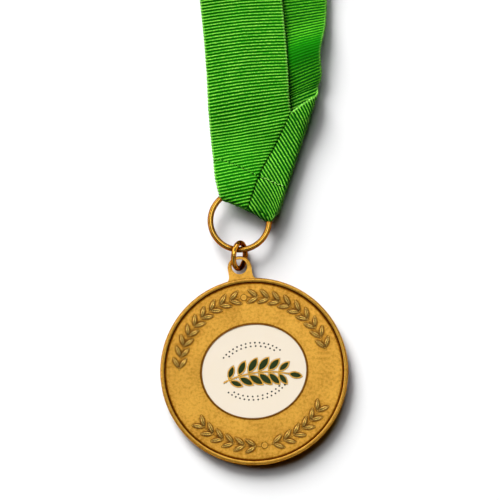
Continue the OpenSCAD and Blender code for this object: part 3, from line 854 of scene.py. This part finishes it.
def oval_line(tree, place, length, width, turn, thick, fill):
    """Fill on an oval line round the origin, and 0 away from it."""
    oval = node(tree, "ShaderNodeMapping", {"Vector": place, "Rotation": (0, 0, turn),
                                            "Scale": (length, width, 1)}, vector_type="TEXTURE").outputs[0]
    far = vector_maths(tree, "LENGTH", vector_maths(tree, "MULTIPLY", oval, (1, 1, 0)))
    off = maths(tree, "ABSOLUTE", maths(tree, "SUBTRACT", far, 1.0))
    return passage(tree, off, thick, 1.8 * thick, fill, 0)


def gold_material(name, tones, rough, mottling, patina_and_shade_on_flanks, wear_and_highlight=0.0, shade_lines=()):
    """Antique gold in three tones: mottled, with dark patina and painted shade in the recesses, near other
    parts and on the flanks, and bright on edges, for both wear and painted highlight.

    Painted shade also fills lines: ovals, each given by its half length, half width, turn, half the line's
    width as a share of the oval's, and how much shade is in it."""
    material, tree, bsdf = shader(name, tones[0], rough, metal=1.0)
    place = node(tree, "ShaderNodeTexCoord").outputs["Object"]
    blotch, speck, grain = (noise(tree, place, *sizes, 0.6) for sizes in (BLOTCHES, SPECKS, GRAIN))
    # Patina and painted shade in recesses and where other parts are near
    patina_and_shade = maths(tree, "SUBTRACT", PATINA_AND_SHADE_FROM, openness(tree, PATINA_AND_SHADE_REACH))
    patina_and_shade = maths(tree, "MULTIPLY", patina_and_shade, PATINA_AND_SHADE_GAIN, clamp=True)
    # Edges made brighter, for both wear and painted highlight
    edge = maths(tree, "SUBTRACT", WEAR_AND_HIGHLIGHT_FROM, openness(tree, WEAR_AND_HIGHLIGHT_REACH, inside=True, only_local=True))
    edge = maths(tree, "MULTIPLY", edge, WEAR_AND_HIGHLIGHT_GAIN * wear_and_highlight, clamp=True)
    normal = node(tree, "ShaderNodeNewGeometry").outputs["Normal"]
    up = node(tree, "ShaderNodeSeparateXYZ", {0: normal}).outputs[2]
    # Patina and painted shade on the flanks, growing as a surface turns away from up
    flank_patina_and_shade = passage(tree, up, 0.55 + 0.5 * patina_and_shade_on_flanks, 0.1 + 0.45 * patina_and_shade_on_flanks, 0, patina_and_shade_on_flanks)
    mottle = maths(tree, "ADD", maths(tree, "MULTIPLY_ADD", blotch, 0.3 * mottling, -0.11 * mottling),
                   maths(tree, "MULTIPLY_ADD", speck, mottling, -0.47 * mottling))
    share = maths(tree, "ADD", mottle, maths(tree, "ADD", patina_and_shade, flank_patina_and_shade), clamp=True)
    share = maths(tree, "SUBTRACT", share, maths(tree, "MULTIPLY", edge, 0.6), clamp=True)
    # Painted shade along the given lines
    for line in shade_lines:
        share = maths(tree, "ADD", share, oval_line(tree, place, *line), clamp=True)
    tone = tone_ramp(tree, share, tones)
    colour = mix_colour(tree, maths(tree, "MULTIPLY", edge, 0.5), tone, WORN_HIGHLIGHT_TONE)
    tree.links.new(colour, bsdf.inputs["Base Color"])
    polish = passage(tree, up, 0.8, 0.97, 0.65, 1)
    uneven = maths(tree, "MULTIPLY_ADD", blotch, 0.5 * rough, 0.75 * rough)
    tree.links.new(maths(tree, "MULTIPLY", uneven, polish), bsdf.inputs["Roughness"])
    bsdf.inputs["Specular Tint"].default_value = GLANCE_TONE
    set_bump(tree, bsdf, maths(tree, "MULTIPLY_ADD", grain, 0.5, speck), GRAIN_DEPTH, 1.6 * rough)
    return material


# Enamel: scale and detail of its clouds, and the depth of its ripple in metres
ENAMEL_CLOUDS = (220.0, 4.0)
RIPPLE_DEPTH = 0.00008


def enamel_material(name, colour, stain, rough, gloss):
    """Soft enamel: cloudy between a colour and its stain, with a slightly uneven gloss."""
    material, tree, bsdf = shader(name, colour, rough, gloss=gloss)
    cloudy = noise(tree, node(tree, "ShaderNodeTexCoord").outputs["Object"], *ENAMEL_CLOUDS)
    share = passage(tree, cloudy, 0.4, 0.75, 0, 0.5)
    tree.links.new(mix_colour(tree, share, (*colour, 1), (*stain, 1)), bsdf.inputs["Base Color"])
    tree.links.new(maths(tree, "MULTIPLY_ADD", cloudy, 0.1, rough - 0.05), bsdf.inputs["Roughness"])
    set_bump(tree, bsdf, cloudy, RIPPLE_DEPTH, 0.25)
    return material


def wear(obj, material):
    obj.data.materials.clear()
    obj.data.materials.append(material)


# Lines of painted shade: on the setting round the enamel, and in the corner inside the raised rim
MEDAL_TURN = math.radians(8)
SETTING_SHADE = (0.01407, 0.01262, MEDAL_TURN, 0.016, 0.9)
RIM_CORNER_SHADE = (0.02362, 0.02362, 0, 0.009, 0.5)
medal_gold = gold_material("antique_gold", [(0.97, 0.52, 0.078), (0.53, 0.19, 0.01), (0.12, 0.03, 0.001)],
                           rough=0.36, mottling=1.0, patina_and_shade_on_flanks=0.6, wear_and_highlight=0.5, shade_lines=(SETTING_SHADE, RIM_CORNER_SHADE))
leaf_gold = gold_material("leaf_gold", [(1.0, 0.66, 0.15), (0.58, 0.21, 0.012), (0.16, 0.04, 0.001)],
                          rough=0.19, mottling=0.3, patina_and_shade_on_flanks=0.3)
ring_gold = gold_material("ring_gold", [(0.88, 0.5, 0.08), (0.54, 0.165, 0.006), (0.2, 0.045, 0.0)],
                          rough=0.15, mottling=0.4, patina_and_shade_on_flanks=0.85)
cream = enamel_material("cream_enamel", (0.81, 0.715, 0.58), (0.81, 0.7, 0.54), rough=0.35, gloss=0.3)
green = enamel_material("green_enamel", (0.012, 0.026, 0.003), (0.03, 0.04, 0.008), rough=0.4, gloss=0.2)
black = enamel_material("black_enamel", (0.006, 0.005, 0.004), (0.02, 0.016, 0.01), rough=0.4, gloss=0.2)

for name, material in (("medal_body", medal_gold), ("jump_ring", ring_gold), ("large_ring", ring_gold),
                       ("white_enamel", cream), ("green_enamel", green)):
    wear(nodes[name], material)

ribbon, ribbon_length, ribbon_marks = ribbon_object()
wear(ribbon, ribbon_material(*ribbon_marks))
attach(ribbon, "root")
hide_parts("neck_ribbon")

# Stitches: short threads that stand a little out of the front of the V, and small dark discs as painted
# shade in their needle holes
THREAD_R = 0.13
THREAD_SIDES = 6
THREAD_RISE = 0.16
THREAD_SINK = 0.02
STITCH_STEP = 1.0
STITCH_LENGTH = 0.62
STITCH_SWAY = 0.14
FIRST_STITCH = 0.2
LAST_MARGIN = 0.3
HOLE_R = 0.25
HOLE_SIDES = 8
HOLE_RISE = 0.05
# The thread is painted darker left of the seam, as shade from the ribs there, and paler to the right of it
SEAM_X = 1.9
SEAM_FADE = 0.3
THREAD_TWIST = (2500.0, 1.0)
LEFT_THREAD = ((0.02, 0.25, 0.004, 1), (0.12, 0.5, 0.035, 1))
RIGHT_THREAD = ((0.16, 0.5, 0.05, 1), (0.42, 0.8, 0.18, 1))
# Tones of the dark discs that stand for the shade in the needle holes
HOLE_SHADE_TONES = ((0.0, 0.02, 0.0, 1), (0.004, 0.06, 0.002, 1))


def ring_faces(first, rings, sides):
    """Faces of a closed body made of rings of points, which are numbered from first."""
    last = first + (rings - 1) * sides
    faces = [tuple(first + k for k in range(sides))[::-1], tuple(last + k for k in range(sides))]
    for low in range(first, last, sides):
        for k in range(sides):
            k2 = (k + 1) % sides
            faces.append((low + k, low + k2, low + sides + k2, low + sides + k))
    return faces


def upright_rings(x, y, rings, sides):
    """Points of rings round an upright axis; each ring is given by its radius and its height."""
    turns = [math.tau * k / sides for k in range(sides)]
    return [Vector((x + r * math.cos(turn), y + r * math.sin(turn), z)) * MM
            for r, z in rings for turn in turns]


def tube_points(path):
    """Points of the rings of a thread along a path."""
    verts = []
    for i, p in enumerate(path):
        way = (path[min(i + 1, len(path) - 1)] - path[max(i - 1, 0)]).normalized()
        side = way.cross(Vector((0, 0, 1))).normalized()
        up = side.cross(way)
        for k in range(THREAD_SIDES):
            turn = math.tau * k / THREAD_SIDES
            verts.append(p + THREAD_R * MM * (math.cos(turn) * side + math.sin(turn) * up))
    return verts


def along_line(line, s):
    """The place at a distance along a line of points."""
    for (a, b), (c, d) in zip(line, line[1:]):
        length = math.hypot(c - a, d - b)
        if s <= length:
            return a + (c - a) * s / length, b + (d - b) * s / length
        s -= length
    return line[-1]


def on_front(u, v):
    """Point of the top of the ribbon's front layer."""
    u, v, z = over_bottom_crease(np.array([float(u)]), np.array([float(v)]))
    if u[0] > 0:
        u, v, z = over_side_crease(u, v, z)
    return in_v(u, v, z + WALL / 2)[0]


def stitches():
    """A row of short stitches that lean to one side and the other of the line, with small dark discs as
    painted shade in their needle holes.

    Gives the mesh and the number of its first faces that are thread."""
    line_len = sum(math.hypot(c - a, d - b) for (a, b), (c, d) in zip(STITCH_LINE, STITCH_LINE[1:]))
    verts, faces = [], []
    starts = [FIRST_STITCH + i * STITCH_STEP for i in range(int((line_len - LAST_MARGIN) / STITCH_STEP))]
    for i, start in enumerate(starts):
        sway = STITCH_SWAY * (1 if i % 2 else -1)
        path = []
        for f in (0, 0.25, 0.5, 0.75, 1):
            u, v = along_line(STITCH_LINE, start + STITCH_LENGTH * f)
            x, y, z = on_front(u, v + sway * (2 * f - 1))
            path.append(Vector((x, y, z + THREAD_RISE * math.sin(math.pi * f) - THREAD_SINK)) * MM)
        faces += ring_faces(len(verts), len(path), THREAD_SIDES)
        verts += tube_points(path)
    thread_faces = len(faces)
    # Dark discs as painted shade in the needle holes between the stitches
    for start in starts:
        x, y, z = on_front(*along_line(STITCH_LINE, start + (STITCH_STEP + STITCH_LENGTH) / 2))
        faces += ring_faces(len(verts), 2, HOLE_SIDES)
        verts += upright_rings(x, y, ((HOLE_R, z - HOLE_RISE), (0.7 * HOLE_R, z + HOLE_RISE)), HOLE_SIDES)
    return add_mesh("stitches", verts, faces), thread_faces


def thread_material(name, base, left_tones, right_tones, rough, gloss):
    """Twisted thread, with its own pair of tones on either side of the seam."""
    material, tree, bsdf = shader(name, base, rough, gloss=gloss)
    place = node(tree, "ShaderNodeTexCoord").outputs["Object"]
    twist = noise(tree, place, *THREAD_TWIST)
    left, right = (mix_colour(tree, twist, *tones) for tones in (left_tones, right_tones))
    x = node(tree, "ShaderNodeSeparateXYZ", {0: place}).outputs[0]
    on_right = passage(tree, x, SEAM_X * MM, (SEAM_X + SEAM_FADE) * MM)
    tree.links.new(mix_colour(tree, on_right, left, right), bsdf.inputs["Base Color"])
    return material


stitch_row, thread_faces = stitches()
wear(stitch_row, thread_material("stitch_thread", (0.3, 0.75, 0.14), LEFT_THREAD, RIGHT_THREAD,
                                 rough=0.6, gloss=0.15))
stitch_row.data.materials.append(
    thread_material("needle_hole_shade", (0.0, 0.03, 0.0), HOLE_SHADE_TONES, HOLE_SHADE_TONES, rough=0.9, gloss=0.0))
for polygon in stitch_row.data.polygons[thread_faces:]:
    polygon.material_index = 1
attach(stitch_row, "root")

# Small black dots on the white enamel, in arcs that follow its oval
DOT_R = 0.26
DOT_SIDES = 12
DOT_FOOT = 2.41
# each ring's radius and height as shares of the dot's
DOT_RINGS = ((1, 0), (0.75, 0.75), (0.35, 1))
DOT_RISE = 0.05
# half length and half width of each arc, the angles it runs between, the dots in it
DOT_ARCS = [(9.6, 7.6, 38, 142, 15), (8.7, 6.7, 46, 134, 11),
            (9.6, 7.6, 218, 322, 15), (8.7, 6.7, 226, 314, 11)]


def dots():
    verts, faces = [], []
    rings = [(DOT_R * r, DOT_FOOT + DOT_RISE * z) for r, z in DOT_RINGS]
    for a, b, start, end, count in DOT_ARCS:
        for i in range(count):
            at = math.radians(start + (end - start) * i / (count - 1))
            x, y = turned(a * math.cos(at), b * math.sin(at), MEDAL_TURN)
            faces += ring_faces(len(verts), len(rings), DOT_SIDES)
            verts += upright_rings(x, y, rings, DOT_SIDES)
    return add_mesh("black_dots", verts, faces)


dot_field = dots()
wear(dot_field, black)
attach(dot_field, "root")

# Crowned leaves with a groove along their middles, on the flat leaves of the garland
GARLAND_R = 19.9
LEAF_LEN = 3.4
LEAF_W = 1.25
LEAF_SPLAY = math.radians(33)
LEAF_FOOT = 2.54
LEAF_UNDERSIDE = 2.49
LEAF_CROWN = 0.32
LEAF_ROUNDNESS = 0.6
LEAF_GROOVE = 0.6
LEAF_GROOVE_REACH = 0.1
LEAF_INSET = 0.05
LEAF_END_INSET = 0.135
PAIR_STEP = 8.6
# middle of the spray in degrees, first pair, pairs, which way the right half's leaves point
SPRAYS = [(90, 11, 9, 1), (270, 6.6, 6, -1)]
LEAF_SHARES = (-1, -0.8, -0.5, -0.2, 0, 0.2, 0.5, 0.8, 1)
LEAF_STATIONS = 13
LEAF_BLUNTNESS = 0.02


def leaf_points(foot, heading, length, width):
    """Points of a leaf-shaped pillow, with its underside just inside the flat leaf."""
    arc_r = (length ** 2 + width ** 2) / (4 * width)
    top = []
    for share in LEAF_SHARES:
        for station in np.linspace(LEAF_BLUNTNESS, 1 - LEAF_BLUNTNESS, LEAF_STATIONS):
            x = length / 2 * (1 - math.cos(math.pi * station))
            half = math.sqrt(arc_r ** 2 - (x - length / 2) ** 2) - (arc_r - width / 2)
            swell = LEAF_CROWN * math.sqrt(max(0, half / (width / 2)))
            crown = swell * (1 - share ** 2) ** LEAF_ROUNDNESS
            groove = swell * LEAF_GROOVE * bell(share * half, LEAF_GROOVE_REACH)
            east, north = turned(x, share * half, heading)
            top.append(Vector((foot[0] + east, foot[1] + north, LEAF_FOOT + crown - groove)) * MM)
    return top + [Vector((p.x, p.y, LEAF_UNDERSIDE * MM)) for p in top]


def garland_leaves():
    verts, faces = [], []
    for middle, first_at, pairs, way in SPRAYS:
        for side, i in [(side, i) for side in (1, -1) for i in range(pairs)]:
            at = math.radians(middle + side * (first_at + PAIR_STEP * i)) + MEDAL_TURN
            for lean in (LEAF_SPLAY, -LEAF_SPLAY):
                heading = at - side * way * math.pi / 2 + lean
                inset = turned(LEAF_END_INSET, 0, heading)
                foot = (GARLAND_R * math.cos(at) + inset[0], GARLAND_R * math.sin(at) + inset[1])
                faces += layer_faces(len(verts), len(LEAF_SHARES), LEAF_STATIONS, closed=False)
                verts += leaf_points(foot, heading, LEAF_LEN - 2 * LEAF_END_INSET, LEAF_W - 2 * LEAF_INSET)
    return add_mesh("garland_leaves", verts, faces)


leaves = garland_leaves()
wear(leaves, leaf_gold)
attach(leaves, "root")

# Softer edges on the medal's metal
bevel = nodes["medal_body"].modifiers.new("soft_edges", "BEVEL")
bevel.width = 0.08 * MM
bevel.segments = 2
bevel.limit_method = "ANGLE"
bevel.angle_limit = math.radians(40)
bevel.harden_normals = False

# Floor and light: a broad soft light from the upper left of the picture, low over the table, and a
# still broader one that fills its shadows. The stage's sizes are in metres
KEY_AZIMUTH = math.radians(120)
KEY_ELEVATION = math.radians(27)
KEY_WIDTH = math.radians(33)
KEY_POWER = 5.1
FILL_ELEVATION = math.radians(25)
FILL_WIDTH = math.radians(89)
FILL_POWER = 2.9
TABLE_WHITE = (0.93, 0.93, 0.93)
DOME_WHITE = (0.97, 0.97, 0.97, 1)
STAGE_R = 9.0
STAGE_Y = 0.1
UNDER_TABLE = 0.0001
# The room that the metal reflects: how bright its parts are, and where each of them starts and ends,
# as the sine of the angle above the table or, last, as the reach towards a side
CEILING_BRIGHT = 1.15
CEILING_EDGE = (0.9, 0.97)
WINDOW_BRIGHT = 2.0
WALL_BRIGHT = 0.4
WALL_FOOT = (0.25, 0.45)
WALL_TOP = (0.62, 0.74)
WINDOW_SPREAD = (-0.1, 0.75)
ROOM_BRIGHT = 0.06
FAR_WAY = (0.5, 0.87, 0)
FAR_SPREAD = (-0.03, 0.2)
FAR_GAIN = 2.1


def sun(name, power, width, elevation, azimuth):
    data = bpy.data.lights.new(name, "SUN")
    data.energy = power
    data.angle = width
    light = new_object(name, data)
    light.rotation_euler = (math.pi / 2 - elevation, 0, azimuth + math.pi / 2)
    light.visible_glossy = False


def make_floor():
    bpy.ops.mesh.primitive_plane_add(size=2 * STAGE_R, location=(0, STAGE_Y, -UNDER_TABLE))
    floor = bpy.context.object
    floor.name = "floor"
    wear(floor, shader("white_table", TABLE_WHITE, 0.9, gloss=0.0)[0])
    return floor


def make_dome():
    """A pale dome behind the table, which only the camera sees."""
    bpy.ops.mesh.primitive_uv_sphere_add(radius=STAGE_R, location=(0, STAGE_Y, -2 * UNDER_TABLE))
    dome = bpy.context.object
    dome.name = "pale_dome"
    material, tree = new_material("pale_dome")
    glow = node(tree, "ShaderNodeEmission", {"Color": DOME_WHITE, "Strength": 1.0})
    node(tree, "ShaderNodeOutputMaterial", {0: glow.outputs[0]})
    wear(dome, material)
    dome.visible_diffuse = False
    dome.visible_glossy = False
    dome.visible_transmission = False
    dome.visible_shadow = False
    return dome


def make_room():
    """The room round the table, which the metal reflects: a ceiling that is brighter towards the far
    side and a little to the right, and, past a dark gap, a pale band that is brightest at the window."""
    world = bpy.data.worlds.new("studio")
    bpy.context.scene.world = world
    world.use_nodes = True
    world.cycles_visibility.diffuse = False
    tree = world.node_tree
    way = node(tree, "ShaderNodeTexCoord").outputs["Generated"]
    up = node(tree, "ShaderNodeSeparateXYZ", {0: way}).outputs[2]
    to_window = vector_maths(tree, "DOT_PRODUCT", way, (math.cos(KEY_AZIMUTH), math.sin(KEY_AZIMUTH), 0))
    to_far = vector_maths(tree, "DOT_PRODUCT", way, FAR_WAY)

    def soft(value, reach, low, high):
        return passage(tree, value, *reach, low, high, "SMOOTHSTEP")

    ceiling = soft(up, CEILING_EDGE, 0, CEILING_BRIGHT)
    far_gain = passage(tree, to_far, *FAR_SPREAD, 0, FAR_GAIN)
    glow = maths(tree, "MULTIPLY_ADD", ceiling, far_gain, ROOM_BRIGHT)
    band = maths(tree, "MULTIPLY", soft(up, WALL_FOOT, 0, 1), soft(up, WALL_TOP, 1, 0))
    band_bright = soft(to_window, WINDOW_SPREAD, WALL_BRIGHT, WINDOW_BRIGHT)
    glow = maths(tree, "MULTIPLY_ADD", band, band_bright, glow)
    background = tree.nodes["Background"]
    tree.links.new(glow, background.inputs["Strength"])
    background.inputs["Color"].default_value = (1, 1, 1, 1)


sun("key", KEY_POWER, KEY_WIDTH, KEY_ELEVATION, KEY_AZIMUTH)
sun("fill", FILL_POWER, FILL_WIDTH, FILL_ELEVATION, KEY_AZIMUTH)
floor = make_floor()
dome = make_dome()
make_room()
bpy.context.scene.view_settings.view_transform = "Standard"
